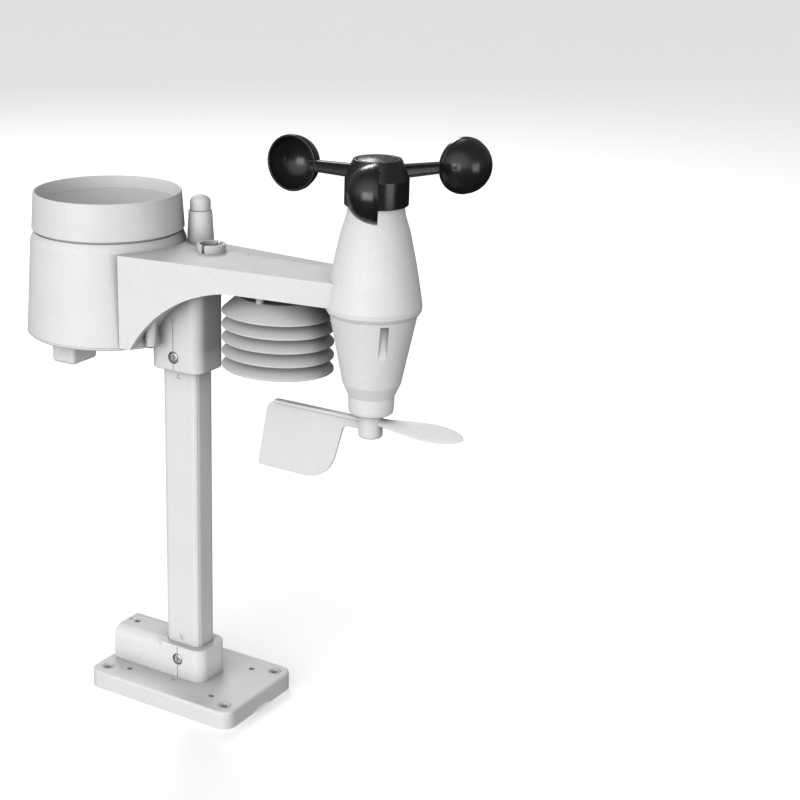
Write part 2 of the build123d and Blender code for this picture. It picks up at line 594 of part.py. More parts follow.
def bucket_bracket():
    """U-shaped bearing bracket that stands on the battery tray."""
    base = block(RAIN_X - 17, RAIN_X + 17, -6, 6, TRAY_TOP + SEAM, TRAY_TOP + 1.4)
    bracket = base
    for side in (-1, 1):
        x = RAIN_X + side * 15.4
        bracket += block(x - 1.2, x + 1.2, -5, 5, TRAY_TOP + SEAM, TIP_Z + 3.6)
    return bracket - rod_x(1.0 + RUNNING, RAIN_X - 20, RAIN_X + 20, 0, TIP_Z)


def bucket_stops():
    """Two pads that the bucket's floor comes down on."""
    pads = []
    for side in (-1, 1):
        y = side * 12.0
        pads.append(block(RAIN_X - 6, RAIN_X + 6, y - 2.0, y + 2.0, TRAY_TOP + SEAM, TIP_Z - 4.8))
    return group(pads)


def switch_holder():
    return block(RAIN_X + 18.2, RAIN_X + 21.0, -9, 9, TRAY_TOP + SEAM, TIP_Z + 9)


def rain_reed_switch():
    return rod_y(1.1, -7, 7, RAIN_X + 17.05, TIP_Z + 7.0)


# ---------------------------------------------------------------- arm fittings
def slope_plane_space():
    """Space above the arm's rear slope."""
    drop = ARM_REAR_DROP / 25.0
    y1 = 70.0
    above = ARM_TOP + 60.0
    low = ARM_TOP - drop * (y1 - FLAT_TOP_Y)
    points = [(FLAT_TOP_Y, ARM_TOP), (y1, low), (y1, above), (FLAT_TOP_Y, above)]
    return Pos(-70, 0, 0) * extrude(make_face(Plane.YZ * Polyline(*points, close=True)), 250)


def antenna_post():
    post = cone(9.5, ARM_TOP - 8, 7.7, ANTENNA_SEAM, ANTENNA_X, ANTENNA_Y)
    post -= cone(7.4, ARM_TOP - 9, 5.8, ANTENNA_SEAM + 1, ANTENNA_X, ANTENNA_Y)
    return post & Pos(0, 0, SEAM) * slope_plane_space()


def antenna_cap():
    foot, top = ANTENNA_SEAM + 0.1, ANTENNA_TOP
    dome = [(0, foot), (6.9, foot), (6.8, top - 4.6), (5.9, top - 2.1), (3.6, top - 0.5), (0, top)]
    spigot = rod(5.5, foot - 3.0, foot + 0.5, ANTENNA_X, ANTENNA_Y)
    cap = turned(dome, ANTENNA_X, ANTENNA_Y) + spigot
    return cap - rod(1.6, foot - 4.0, top - 3.0, ANTENNA_X, ANTENNA_Y)


def antenna_wire():
    return rod(1.0, BOARD_Z + 1.6, ANTENNA_TOP - 5.0, ANTENNA_X, ANTENNA_Y)


def level_vial():
    vial = rod(LEVEL_R - 1.7, ARM_TOP + SEAM, ARM_TOP + 2.8, LEVEL_X, LEVEL_Y)
    vial = fillet(vial.edges().group_by(Axis.Z)[-1], 0.6)
    return vial - rod(LEVEL_R - 2.8, ARM_TOP + 0.8, ARM_TOP + 2.0, LEVEL_X, LEVEL_Y)


def level_fluid():
    """Fluid of the level, with the space of its bubble under the lens."""
    fluid = rod(LEVEL_R - 2.85, ARM_TOP + 0.85, ARM_TOP + 1.95, LEVEL_X, LEVEL_Y)
    return fluid - cone(2.0, ARM_TOP + 1.4, 2.4, ARM_TOP + 2.0, LEVEL_X, LEVEL_Y)


def main_board():
    """Transmitter board, notched for the housing's screw bosses."""
    board = slab([(-14, 33.0), (-14, -33.0), (104, -15.0), (104, 15.0)][::-1], BOARD_Z, BOARD_Z + 1.6)
    board &= arm_plan(BOARD_Z - 1, BOARD_Z + 3, WALL + 0.8)
    board -= rain_outside(0.6, 240, RAIN_Z1)
    for x, y, head_z, seat_z, length in housing_screw_places():
        board -= rod(4.2, BOARD_Z - 1, BOARD_Z + 3, x, y)
    for x, y in shield_posts():
        board -= rod(4.0, BOARD_Z - 1, BOARD_Z + 3, x, y)
    return board


def radio_module():
    return block(2, 20, -9, 9, BOARD_Z + 1.6, BOARD_Z + 3.8)


# ---------------------------------------------------------------- radiation shield
def shield_posts():
    return [(SHIELD_X - POST_X, 0), (SHIELD_X + POST_X, 0), (SHIELD_X, -POST_Y), (SHIELD_X, POST_Y)]


def oval(shrink, z):
    return Pos(SHIELD_X, 0, z) * Ellipse(SHIELD_A - shrink, SHIELD_B - shrink)


def oval_skirt(z0, slope_in, height, wall):
    """Flared oval skirt with a narrow upright rim and a flat top."""
    outside = extrude(oval(0, z0), 1.0) + loft([oval(0, z0 + 1.0), oval(slope_in, z0 + height)])
    inside = loft([oval(1.2, z0), oval(slope_in + wall * 0.75, z0 + height - wall)])
    return outside - inside - extrude(oval(1.2, z0 - 1), 1.0)


def louvre(index):
    """One louvre of the shield, counted from the second one down."""
    z0 = SHIELD_RIM_TOP - index * SHIELD_PITCH
    ring = oval_skirt(z0, 8.0, 8.6, 1.4)
    if index < SHIELD_COUNT - 1:
        ring -= extrude(oval(16.0, z0), 12)
    else:
        for step in range(5):
            x = SHIELD_X - 12 + step * 6
            ring -= block(x - 1, x + 1, -9, 9, z0 + 5, z0 + 10)
    for x, y in shield_posts():
        ring += rod(2.6, z0 + 8.0, z0 + SHIELD_PITCH + POST_GAP, x, y)
        ring -= rod(1.3, z0, z0 + 20, x, y)
    return ring


def shield_top():
    z0 = SHIELD_RIM_TOP
    cap = oval_skirt(z0, 10.4, 10.7, 1.6)
    for x, y in shield_posts():
        cap += rod(2.6, z0 + 9.4, ARM_LOW + SHEET_LOW - SEAM, x, y) & arch_space(SHEET_LOW - SEAM)
        cap -= rod(1.3, z0, 310, x, y)
    cap -= block(SHIELD_X - 5, SHIELD_X + 5, -2.2, 2.2, z0 + 8, z0 + 12)
    return cap


def shield_screws():
    screws = []
    head_z = SHIELD_RIM_TOP - (SHIELD_COUNT - 1) * SHIELD_PITCH + 7.2
    for x, y in shield_posts():
        screws.append(Pos(x, y, head_z) * Rot(180, 0, 0) * cross_head_screw(1.15, 54, 2.6, 1.4))
    return group(screws)


def climate_board():
    return block(SHIELD_X - 7, SHIELD_X + 7, -0.8, 0.8, 259.0, SHIELD_RIM_TOP + 8.9)


def climate_sensor():
    return block(SHIELD_X - 4, SHIELD_X + 4, -3.4, -0.8, 262.0, 272.0)


# ---------------------------------------------------------------- wind sensors
def lower_cone():
    """Lower cone of the wind sensor, with the vane's bearing tube inside."""
    outside = turned([(0, 229.0), (12.3, 229.0), (13.5, 229.9), (13.9, 231.6), (14.2, 240.4), (17.9, 248.6),
                      (26.3, 290.6), (26.3, 297.0), (0, 297.0)], WIND_X)
    inside = turned([(0, 231.0), (11.9, 231.0), (12.3, 241.4), (16.1, 249.6), (24.5, 291.0), (24.5, 298.0),
                     (0, 298.0)], WIND_X)
    cone_shell = outside - inside
    cone_shell += rod(5.8, 230.0, 256.0, WIND_X)
    cone_shell -= rod(2.3, 220, 260, WIND_X)
    cone_shell -= rod(4.05, 228, 232.2, WIND_X) + rod(4.05, 253.0, 257, WIND_X)
    lining = SLOT_FLOOR - 1.5
    inner_box = block(lining, 26.0, -SLOT_HALF - 1.5, SLOT_HALF + 1.5, 258.0, SLOT_TOP + 1.5)
    pocket = block(SLOT_FLOOR, 40.0, -SLOT_HALF, SLOT_HALF, 258.0, SLOT_TOP)
    for turn in range(3):
        place = Pos(WIND_X, 0, 0) * Rot(0, 0, SLOT_ANGLE + turn * 120)
        cone_shell += (place * inner_box) & outside
        cone_shell -= place * pocket
    return cone_shell


def bearing(z0):
    return rod(4.0, z0, z0 + 2.9, WIND_X) - rod(SHAFT_R + RUNNING, z0 - 1, z0 + 4, WIND_X)


def rotor_bearings():
    return group([bearing(354.55), bearing(331.05)])


def vane_bearings():
    return group([bearing(229.2), bearing(253.05)])


def cup_rotor():
    """Hub, three arms and three cups in one moulding."""
    hub = turned([(0, 358.0), (18.9, 358.0), (19.1, 358.4), (19.1, 373.6), (14.5, 384.4),
                  (13.9, 385.2), (11.9, 385.2), (11.9, 384.2), (0, 384.2)], WIND_X)
    hub -= turned([(0, 357.0), (17.2, 357.0), (17.2, 373.0), (12.9, 381.8), (0, 381.8)], WIND_X)
    hub += rod(4.4, 360.0, 382.5, WIND_X)
    hub -= rod(SHAFT_R + 0.02, 350, 383.0, WIND_X)
    for turn in range(3):
        hub += Pos(WIND_X, 0, CUP_Z) * Rot(0, 0, CUP_PHASE + turn * 120) * cup_and_arm()
    return hub


def cup_and_arm():
    """Cup on its arm along +X; the mouth faces +Y."""
    web_end = CUP_ARM - CUP_R + 1.0
    web = slab([(14.0, -1.2), (web_end, -0.9), (web_end, 0.9), (14.0, 1.2)], -4.0, 4.0)
    taper = make_face(Polyline((13, -4.0), (CUP_ARM, -3.1), (CUP_ARM, 3.1), (13, 4.0), close=True))
    web &= front_extrusion(taper, -5, 5)
    for side in (-1, 1):
        corners = [(15, side * 4.0), (43.5, side * 3.4), (43.5, side * 2.3), (15, side * 2.9)]
        web += front_extrusion(make_face(Polyline(*corners, close=True)), -2.0, 2.0)
    ball = Pos(CUP_ARM, 0, 0) * (Sphere(CUP_R) & block(-30, 30, -30, 0, -30, 30))
    ball += Pos(CUP_ARM, 0.6, 0) * Rot(90, 0, 0) * Cylinder(CUP_R, 1.2)
    hollow = Pos(CUP_ARM, 0, 0) * Sphere(CUP_R - CUP_WALL)
    hollow += Pos(CUP_ARM, 2, 0) * Rot(90, 0, 0) * Cylinder(CUP_R - CUP_WALL, 4)
    web -= block(13, 16.5, -3, 3, -5, 5) & rod(16.5, -5, 5)
    return (web + ball) - hollow


def rotor_cap():
    cap = turned([(0, 384.25), (11.7, 384.25), (11.7, 385.3), (10.6, 385.9), (0, 386.3)], WIND_X)
    return cap


def rotor_shaft():
    return rod(SHAFT_R, 326.6, 382.4, WIND_X)


def rotor_magnet():
    return rod(4.2, 326.8, 329.8, WIND_X) - rod(SHAFT_R + 0.02, 325, 331, WIND_X)


def speed_board():
    return rod(22.5, 320.4, 322.0, WIND_X)


def speed_switch():
    return rod_y(1.1, -7, 7, WIND_X + 6.0, 323.15)


def direction_board():
    return rod(19.0, 264.6, 266.2, WIND_X)


def direction_switches():
    """Four reed switches under the direction board, read by the vane's magnet."""
    switches = []
    for turn in range(4):
        switch = rod_y(1.1, -5, 5, 10.5, 263.45)
        switches.append(Pos(WIND_X, 0, 0) * Rot(0, 0, turn * 90) * switch)
    return group(switches)


def wind_vane():
    """Vane hub with its tail to -X and its leaf-shaped pointer to +X."""
    hub = rod(7.45, 213.2, 228.4, 0)
    hub = fillet(hub.edges().group_by(Axis.Z)[0], 1.8)
    hub = fillet(hub.edges().group_by(Axis.Z)[-1], 0.6)
    tail = tail_plate() + block(-70.2, 0, -2.4, 2.4, VANE_Z - 2.0, VANE_Z)
    leaf = pointer_leaf()
    vane = hub + tail + leaf
    vane -= rod(SHAFT_R + 0.02, 216.0, 230, 0)
    return Pos(WIND_X, 0, 0) * vane


def tail_plate():
    edge = [
        Line((0, 222.8), (-68.5, 222.8)),
        ThreePointArc((-68.5, 222.8), (-74.3, 220.2), (-77.0, 214.5)),
        Line((-77.0, 214.5), (-82.9, 180.2)),
        ThreePointArc((-82.9, 180.2), (-82.6, 178.7), (-81.3, 178.0)),
        Line((-81.3, 178.0), (-51.6, 177.6)),
        ThreePointArc((-51.6, 177.6), (-33.5, 185.1), (-23.0, 202.1)),
        Line((-23.0, 202.1), (-20.3, 212.0)),
        ThreePointArc((-20.3, 212.0), (-18.7, 215.4), (-15.2, 216.8)),
        Line((-15.2, 216.8), (0, 216.8)),
        Line((0, 216.8), (0, 222.8)),
    ]
    return front_extrusion(make_face(edge), -0.9, 0.9)


def pointer_leaf():
    """Leaf plate along +X, leaning back from upright."""
    upper = Spline((5.0, 2.4), (20.0, 4.6), (42.0, 7.3), (57.0, 4.9), (64.4, 0))
    lower = Spline((64.4, 0), (57.0, -4.9), (42.0, -7.3), (20.0, -4.6), (5.0, -2.4))
    root = Line((5.0, -2.4), (5.0, 2.4))
    leaf = front_extrusion(make_face([upper, lower, root]), -1.1, 1.1)
    return Pos(0, 0, POINTER_Z) * Rot(-POINTER_LEAN, 0, 0) * leaf


def vane_shaft():
    return rod(SHAFT_R, 216.2, 260.4, WIND_X)


def vane_magnet():
    return rod(4.8, 257.0, 260.0, WIND_X) - rod(SHAFT_R + 0.02, 250, 261, WIND_X)


# ---------------------------------------------------------------- all pieces
def build():
    pieces = {
        "base_plate": base_plate(),
        "mounting_pole": pole(),
        "base_clamp_screw": clamp_screw(BASE_SCREW_Z),
        "base_clamp_nut": clamp_nut(BASE_SCREW_Z),
        "head_clamp_screw": clamp_screw(HEAD_SCREW_Z),
        "head_clamp_nut": clamp_nut(HEAD_SCREW_Z),
        "upper_housing": upper_housing(),
        "arm_underside": arm_underside(),
        "housing_screws": housing_screws(),
        "rain_bottom_cover": rain_bottom_cover(),
        "bottom_cover_screws": bottom_cover_screws(),
        "battery_door": battery_door(),
        "battery_door_screw": battery_door_screw(),
        "battery_tray": battery_tray(),
        "contact_plates": contact_plates(),
        "contact_springs": contact_springs(),
        "reset_button": reset_button(),
        "button_switch": button_switch(),
        "led_indicator": led_indicator(),
        "control_board": control_board(),
        "rain_collector": rain_collector(),
        "tipping_bucket": tipping_bucket(),
        "bucket_axle": bucket_axle(),
        "bucket_magnet": bucket_magnet(),
        "bucket_bracket": bucket_bracket(),
        "bucket_stops": bucket_stops(),
        "switch_holder": switch_holder(),
        "rain_reed_switch": rain_reed_switch(),
        "antenna_post": antenna_post(),
        "antenna_cap": antenna_cap(),
        "antenna_wire": antenna_wire(),
        "level_vial": level_vial(),
        "level_fluid": level_fluid(),
        "main_board": main_board(),
        "radio_module": radio_module(),
        "shield_top": shield_top(),
        "shield_screws": shield_screws(),
        "climate_board": climate_board(),
        "climate_sensor": climate_sensor(),
        "lower_cone": lower_cone(),
        "rotor_bearings": rotor_bearings(),
        "vane_bearings": vane_bearings(),
        "cup_rotor": cup_rotor(),
        "rotor_cap": rotor_cap(),
        "rotor_shaft": rotor_shaft(),
        "rotor_magnet": rotor_magnet(),
        "speed_board": speed_board(),
        "speed_switch": speed_switch(),
        "direction_board": direction_board(),
        "direction_switches": direction_switches(),
        "wind_vane": wind_vane(),
        "vane_shaft": vane_shaft(),
        "vane_magnet": vane_magnet(),
    }
    for index in range(3):
        pieces[f"cell_{index + 1}"] = cell(index)
    for index in range(1, SHIELD_COUNT):
        pieces[f"louvre_{index}"] = louvre(index)
    return pieces


for node, piece in build().items():
    save(piece, node)
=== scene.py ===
import json
import math

import bmesh
import bpy
from mathutils import Matrix, Vector


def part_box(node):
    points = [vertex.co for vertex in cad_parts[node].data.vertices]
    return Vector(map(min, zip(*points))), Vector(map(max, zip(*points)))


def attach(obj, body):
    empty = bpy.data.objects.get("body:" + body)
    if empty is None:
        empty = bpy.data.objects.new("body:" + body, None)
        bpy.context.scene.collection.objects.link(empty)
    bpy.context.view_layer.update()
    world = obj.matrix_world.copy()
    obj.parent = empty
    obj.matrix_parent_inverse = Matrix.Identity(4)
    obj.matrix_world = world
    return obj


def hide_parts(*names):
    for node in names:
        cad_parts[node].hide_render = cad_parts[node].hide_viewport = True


# Visual model of an outdoor weather sensor on a post. Lengths are in millimetres until a
# mesh is made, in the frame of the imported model: +Z up, the arm along X, its front facing -Y.

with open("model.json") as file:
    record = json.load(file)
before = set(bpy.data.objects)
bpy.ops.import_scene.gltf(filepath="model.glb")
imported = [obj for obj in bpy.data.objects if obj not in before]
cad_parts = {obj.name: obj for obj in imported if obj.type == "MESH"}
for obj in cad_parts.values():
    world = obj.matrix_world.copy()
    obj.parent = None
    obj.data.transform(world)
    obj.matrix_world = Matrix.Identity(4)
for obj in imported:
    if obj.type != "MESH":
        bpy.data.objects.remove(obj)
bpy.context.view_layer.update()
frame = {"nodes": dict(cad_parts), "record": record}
nodes = frame["nodes"]
MM = 0.001


def node_box(node):
    """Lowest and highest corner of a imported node, in millimetres."""
    low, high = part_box(node)
    return Vector(low) / MM, Vector(high) / MM


def node_centre(node):
    low, high = node_box(node)
    return (low + high) / 2


# ---------------------------------------------------------------- materials
class Nodes:
    """Short hand for building one material's node tree."""

    def __init__(self, name):
        self.material = bpy.data.materials.new(name)
        self.material.use_nodes = True
        self.tree = self.material.node_tree
        self.shader = self.tree.nodes["Principled BSDF"]

    def new(self, kind, **inputs):
        node = self.tree.nodes.new(kind)
        for key, value in inputs.items():
            node.inputs[key.replace("_", " ")].default_value = value
        return node

    def link(self, source, target):
        self.tree.links.new(source, target)

    def position(self):
        return self.new("ShaderNodeTexCoord").outputs["Object"]

    def noise(self, scale, detail=3.0, roughness=0.5):
        node = self.new("ShaderNodeTexNoise", Scale=scale, Detail=detail, Roughness=roughness)
        self.link(self.position(), node.inputs["Vector"])
        return node.outputs["Fac"]

    def ramp(self, source, low, high, start=0.3, end=0.7):
        node = self.new("ShaderNodeMapRange")
        node.inputs["From Min"].default_value = start
        node.inputs["From Max"].default_value = end
        node.inputs["To Min"].default_value = low
        node.inputs["To Max"].default_value = high
        self.link(source, node.inputs["Value"])
        return node.outputs["Result"]

    def tint(self, source, dark, light):
        node = self.new("ShaderNodeMix")
        node.data_type = "RGBA"
        node.inputs["A"].default_value = (*dark, 1.0)
        node.inputs["B"].default_value = (*light, 1.0)
        self.link(source, node.inputs["Factor"])
        return node.outputs["Result"]

    def bump(self, source, strength, distance, previous=None):
        node = self.new("ShaderNodeBump", Strength=strength, Distance=distance)
        self.link(source, node.inputs["Height"])
        if previous is not None:
            self.link(previous, node.inputs["Normal"])
        return node.outputs["Normal"]

    def multiplied(self, first, second):
        node = self.new("ShaderNodeMix")
        node.data_type = "RGBA"
        node.blend_type = "MULTIPLY"
        node.inputs["Factor"].default_value = 1.0
        self.link(first, node.inputs["A"])
        self.link(second, node.inputs["B"])
        return node.outputs["Result"]

    def paint_crevice_shade(self, colour, darkest, reach):
        """Paints shade into a colour where nearby surfaces close it in (grooves, hollows and under ledges):
        an occlusion node stands in for the shade that falls there.
        """
        occlusion = self.new("ShaderNodeAmbientOcclusion", Distance=reach)
        occlusion.samples = 6
        open_air = self.ramp(occlusion.outputs["AO"], 0.0, 1.0, 0.15, 0.95)
        return self.multiplied(colour, self.tint(open_air, (darkest,) * 3, (1.0,) * 3))


def textured_plastic(name, base, roughness=0.55, grain=0.0003, shade=0.34, reach=0.017, mottle=0.03):
    """Spark-textured moulded plastic: fine pitted grain, slight mottling, and painted shade where it is
    closed in (shade is its darkest level, reach its distance).
    """
    n = Nodes(name)
    dark = tuple(c * (1.0 - mottle) for c in base)
    light = tuple(min(1.0, c * (1.0 + mottle * 0.6)) for c in base)
    clouds = n.tint(n.ramp(n.noise(28.0, 4.0), 0.0, 1.0), dark, light)
    specks = n.tint(n.ramp(n.noise(1300.0, 2.0, 0.7), 0.0, 1.0), (0.86,) * 3, (1.0,) * 3)
    # Painted shade: the occlusion darkening is multiplied into the base colour.
    n.link(n.paint_crevice_shade(n.multiplied(clouds, specks), shade, reach), n.shader.inputs["Base Color"])
    n.link(n.ramp(n.noise(90.0, 3.0), roughness - 0.05, roughness + 0.05), n.shader.inputs["Roughness"])
    pits = n.bump(n.noise(1100.0, 2.0, 0.6), 0.55, grain)
    n.link(n.bump(n.noise(45.0, 2.0), 0.12, 0.00012, pits), n.shader.inputs["Normal"])
    n.shader.inputs["Specular IOR Level"].default_value = 0.4
    return n.material


def gloss_plastic(name, base, roughness=0.16, coat=0.15):
    """Polished moulding with faint flow waviness and fine scuffs."""
    n = Nodes(name)
    light = tuple(min(1.0, c * 1.6 + 0.004) for c in base)
    n.link(n.tint(n.ramp(n.noise(60.0, 4.0), 0.0, 1.0), base, light), n.shader.inputs["Base Color"])
    scuffs = n.noise(420.0, 6.0, 0.7)
    n.link(n.ramp(scuffs, roughness - 0.04, roughness + 0.08, 0.45, 0.75), n.shader.inputs["Roughness"])
    n.link(n.bump(n.noise(35.0, 2.0), 0.10, 0.0002), n.shader.inputs["Normal"])
    n.shader.inputs["Coat Weight"].default_value = coat
    n.shader.inputs["Coat Roughness"].default_value = 0.12
    n.shader.inputs["Specular IOR Level"].default_value = 0.4
    return n.material


def metal(name, base, roughness=0.32, streak=(1.0, 1.0, 14.0), metallic=1.0):
    """Machined or drawn metal with fine streaks."""
    n = Nodes(name)
    mapping = n.new("ShaderNodeMapping")
    mapping.inputs["Scale"].default_value = streak
    n.link(n.position(), mapping.inputs["Vector"])
    lines = n.new("ShaderNodeTexNoise", Scale=900.0, Detail=3.0)
    n.link(mapping.outputs["Vector"], lines.inputs["Vector"])
    dark = tuple(c * 0.8 for c in base)
    n.link(n.tint(n.ramp(lines.outputs["Fac"], 0.0, 1.0), dark, base), n.shader.inputs["Base Color"])
    n.link(n.ramp(n.noise(300.0), roughness - 0.06, roughness + 0.08), n.shader.inputs["Roughness"])
    n.link(n.bump(lines.outputs["Fac"], 0.15, 0.00003), n.shader.inputs["Normal"])
    n.shader.inputs["Metallic"].default_value = metallic
    return n.material


def circuit_board(name):
    """Green solder mask over faint copper tracks."""
    n = Nodes(name)
    tracks = n.new("ShaderNodeTexBrick", Scale=160.0)
    tracks.inputs["Mortar Size"].default_value = 0.05
    n.link(n.position(), tracks.inputs["Vector"])
    mask, copper = (0.012, 0.11, 0.04), (0.05, 0.23, 0.09)
    n.link(n.tint(tracks.outputs["Fac"], mask, copper), n.shader.inputs["Base Color"])
    n.link(n.bump(tracks.outputs["Fac"], 0.3, 0.00005), n.shader.inputs["Normal"])
    n.shader.inputs["Roughness"].default_value = 0.3
    return n.material


def clear(name, base, roughness=0.05):
    """Clear moulded lens or glass tube."""
    n = Nodes(name)
    n.shader.inputs["Base Color"].default_value = (*base, 1.0)
    n.shader.inputs["Transmission Weight"].default_value = 0.95
    n.shader.inputs["IOR"].default_value = 1.47
    n.link(n.ramp(n.noise(200.0), roughness, roughness + 0.06), n.shader.inputs["Roughness"])
    return n.material


WHITE = (0.735, 0.735, 0.735)
COLLECTOR_WHITE = (0.70, 0.70, 0.705)
materials = {
    "housing_plastic": textured_plastic("housing_plastic", WHITE),
    # The collector ring keeps only light painted shade (shade 0.8), so its inner wall stays bright.
    "collector_plastic": textured_plastic("collector_plastic", COLLECTOR_WHITE, 0.5, shade=0.8),
    "pole_plastic": textured_plastic("pole_plastic", (0.74, 0.74, 0.74), 0.5),
    # The shield's plastic is set darker than the housing's white: painted shade for the shade on the louvres
    # under the arm.
    "shield_plastic": textured_plastic("shield_plastic", (0.58, 0.58, 0.585)),
    "vane_plastic": textured_plastic("vane_plastic", (0.72, 0.72, 0.72), 0.45, 0.00003),
    "door_plastic": textured_plastic("door_plastic", (0.72, 0.72, 0.72)),
    "rotor_plastic": gloss_plastic("rotor_plastic", (0.006, 0.0065, 0.007), 0.27, 0.08),
    "inner_plastic": textured_plastic("inner_plastic", (0.42, 0.42, 0.43)),
    "bucket_plastic": gloss_plastic("bucket_plastic", (0.74, 0.74, 0.72), 0.25, 0.2),
    "rubber": textured_plastic("rubber", (0.02, 0.02, 0.02), 0.75),
    "button_rubber": textured_plastic("button_rubber", (0.12, 0.12, 0.125), 0.7),
    "steel": metal("steel", (0.62, 0.62, 0.65), metallic=0.65),
    "bearing_brass": metal("bearing_brass", (0.62, 0.45, 0.20)),
    "contact_metal": metal("contact_metal", (0.62, 0.61, 0.58), 0.22),
    "circuit_board": circuit_board("circuit_board"),
    "electronics": textured_plastic("electronics", (0.015, 0.015, 0.017), 0.5),
    "switch_glass": clear("switch_glass", (0.80, 0.90, 0.85)),
    "magnet": metal("magnet", (0.22, 0.22, 0.23), 0.25),
    "led_red": gloss_plastic("led_red", (0.45, 0.02, 0.015), 0.12),
    "antenna_wire": metal("antenna_wire", (0.62, 0.30, 0.14)),
    "level_lens": clear("level_lens", (0.95, 0.98, 0.96)),
    "level_fluid": gloss_plastic("level_fluid", (0.52, 0.56, 0.44), 0.1),
    "cell_jacket": gloss_plastic("cell_jacket", (0.03, 0.035, 0.045), 0.22),
}


def dress(piece, slot_name):
    piece.data.materials.clear()
    piece.data.materials.append(materials[slot_name])


for entry in frame["record"]["subparts"]:
    dress(nodes[entry["node"]], entry["material_slot"])


# ---------------------------------------------------------------- mesh building
def rounded(points, radius, closed=True, steps=5):
    """Replaces each corner of a 2-D outline by an arc; a third value in a point is its own radius."""
    outline = []
    count = len(points)
    for index, point in enumerate(points):
        here = Vector(point[:2])
        at_end = not closed and index in (0, count - 1)
        before, after = Vector(points[index - 1][:2]), Vector(points[(index + 1) % count][:2])
        back, ahead = before - here, after - here
        turn = math.pi - back.angle(ahead, math.pi)
        if at_end or turn < 0.05:
            outline.append(here)
            continue
        own = point[2] if len(point) > 2 else radius
        reach = min(own * math.tan(turn / 2), 0.48 * back.length, 0.48 * ahead.length)
        start, end = here + back.normalized() * reach, here + ahead.normalized() * reach
        for step in range(steps + 1):
            t = step / steps
            outline.append(start * (1 - t)**2 + here * 2 * t * (1 - t) + end * t**2)
    return outline


def lathe(profile, segments=96, half_x=None, half_y=None, closed=True):
    """Turns (radius, z) points about Z. With half_x and half_y the first value is the inset from an oval."""
    vertices, rings = [], []
    for radius, z in profile:
        if half_x is None and radius < 1e-6:
            rings.append([len(vertices)] * segments)
            vertices.append((0.0, 0.0, z))
            continue
        rings.append(range(len(vertices), len(vertices) + segments))
        for step in range(segments):
            angle = 2 * math.pi * step / segments
            rx = radius if half_x is None else half_x - radius
            ry = radius if half_y is None else half_y - radius
            vertices.append((rx * math.cos(angle), ry * math.sin(angle), z))
    faces = []
    pairs = zip(rings, rings[1:] + rings[:1]) if closed else zip(rings, rings[1:])
    for low, high in pairs:
        for step in range(segments):
            ahead = (step + 1) % segments
            corners = [low[step], low[ahead], high[ahead], high[step]]
            distinct = list(dict.fromkeys(corners))
            if len(distinct) > 2:
                faces.append(distinct)
    return vertices, faces


def loft(sections):
    """Skins equal-length closed sections and caps both ends."""
    size = len(sections[0])
    vertices = [point for section in sections for point in section]
    faces = []
    for start in range(0, (len(sections) - 1) * size, size):
        for step in range(size):
            ahead = (step + 1) % size
            faces.append([start + step, start + ahead, start + size + ahead, start + size + step])
    faces.append(list(range(size))[::-1])
    faces.append([(len(sections) - 1) * size + step for step in range(size)])
    return vertices, faces


def moved(shape, matrix):
    vertices, faces = shape
    return [tuple(matrix @ Vector(vertex)) for vertex in vertices], faces


def joined(shapes):
    vertices, faces = [], []
    for more_vertices, more_faces in shapes:
        start = len(vertices)
        vertices += more_vertices
        faces += [[start + index for index in face] for face in more_faces]
    return vertices, faces


def place(name, shape, body, slot_name, replaced=(), crease=38.0):
    """Makes one visible piece from millimetre geometry, dresses it, parents it to its body and hides the
    parts it replaces.
    """
    vertices, faces = shape
    mesh = bpy.data.meshes.new(name)
    mesh.from_pydata([Vector(vertex) * MM for vertex in vertices], [], faces)
    editable = bmesh.new()
    editable.from_mesh(mesh)
    bmesh.ops.recalc_face_normals(editable, faces=editable.faces)
    editable.to_mesh(mesh)
    editable.free()
    mesh.shade_smooth()
    mesh.set_sharp_from_angle(angle=math.radians(crease))
    piece = bpy.data.objects.new(name, mesh)
    bpy.context.scene.collection.objects.link(piece)
    dress(piece, slot_name)
    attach(piece, body)
    if replaced:
        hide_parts(*replaced)
    return piece


def upright(x, y, z=0.0):
    return Matrix.Translation((x, y, z))


def cut(piece, cutter_shape):
    """Removes a closed shape from a piece."""
    vertices, faces = cutter_shape
    mesh = bpy.data.meshes.new("cutter")
    mesh.from_pydata([Vector(vertex) * MM for vertex in vertices], [], faces)
    editable = bmesh.new()
    editable.from_mesh(mesh)
    bmesh.ops.recalc_face_normals(editable, faces=editable.faces)
    editable.to_mesh(mesh)
    editable.free()
    cutter = bpy.data.objects.new("cutter", mesh)
    bpy.context.scene.collection.objects.link(cutter)
    boolean = piece.modifiers.new("cut", "BOOLEAN")
    boolean.operation = "DIFFERENCE"
    boolean.solver = "EXACT"
    boolean.object = cutter
    result = bpy.data.meshes.new_from_object(piece.evaluated_get(bpy.context.evaluated_depsgraph_get()))
    piece.modifiers.clear()
    piece.data = result
    bpy.data.objects.remove(cutter)


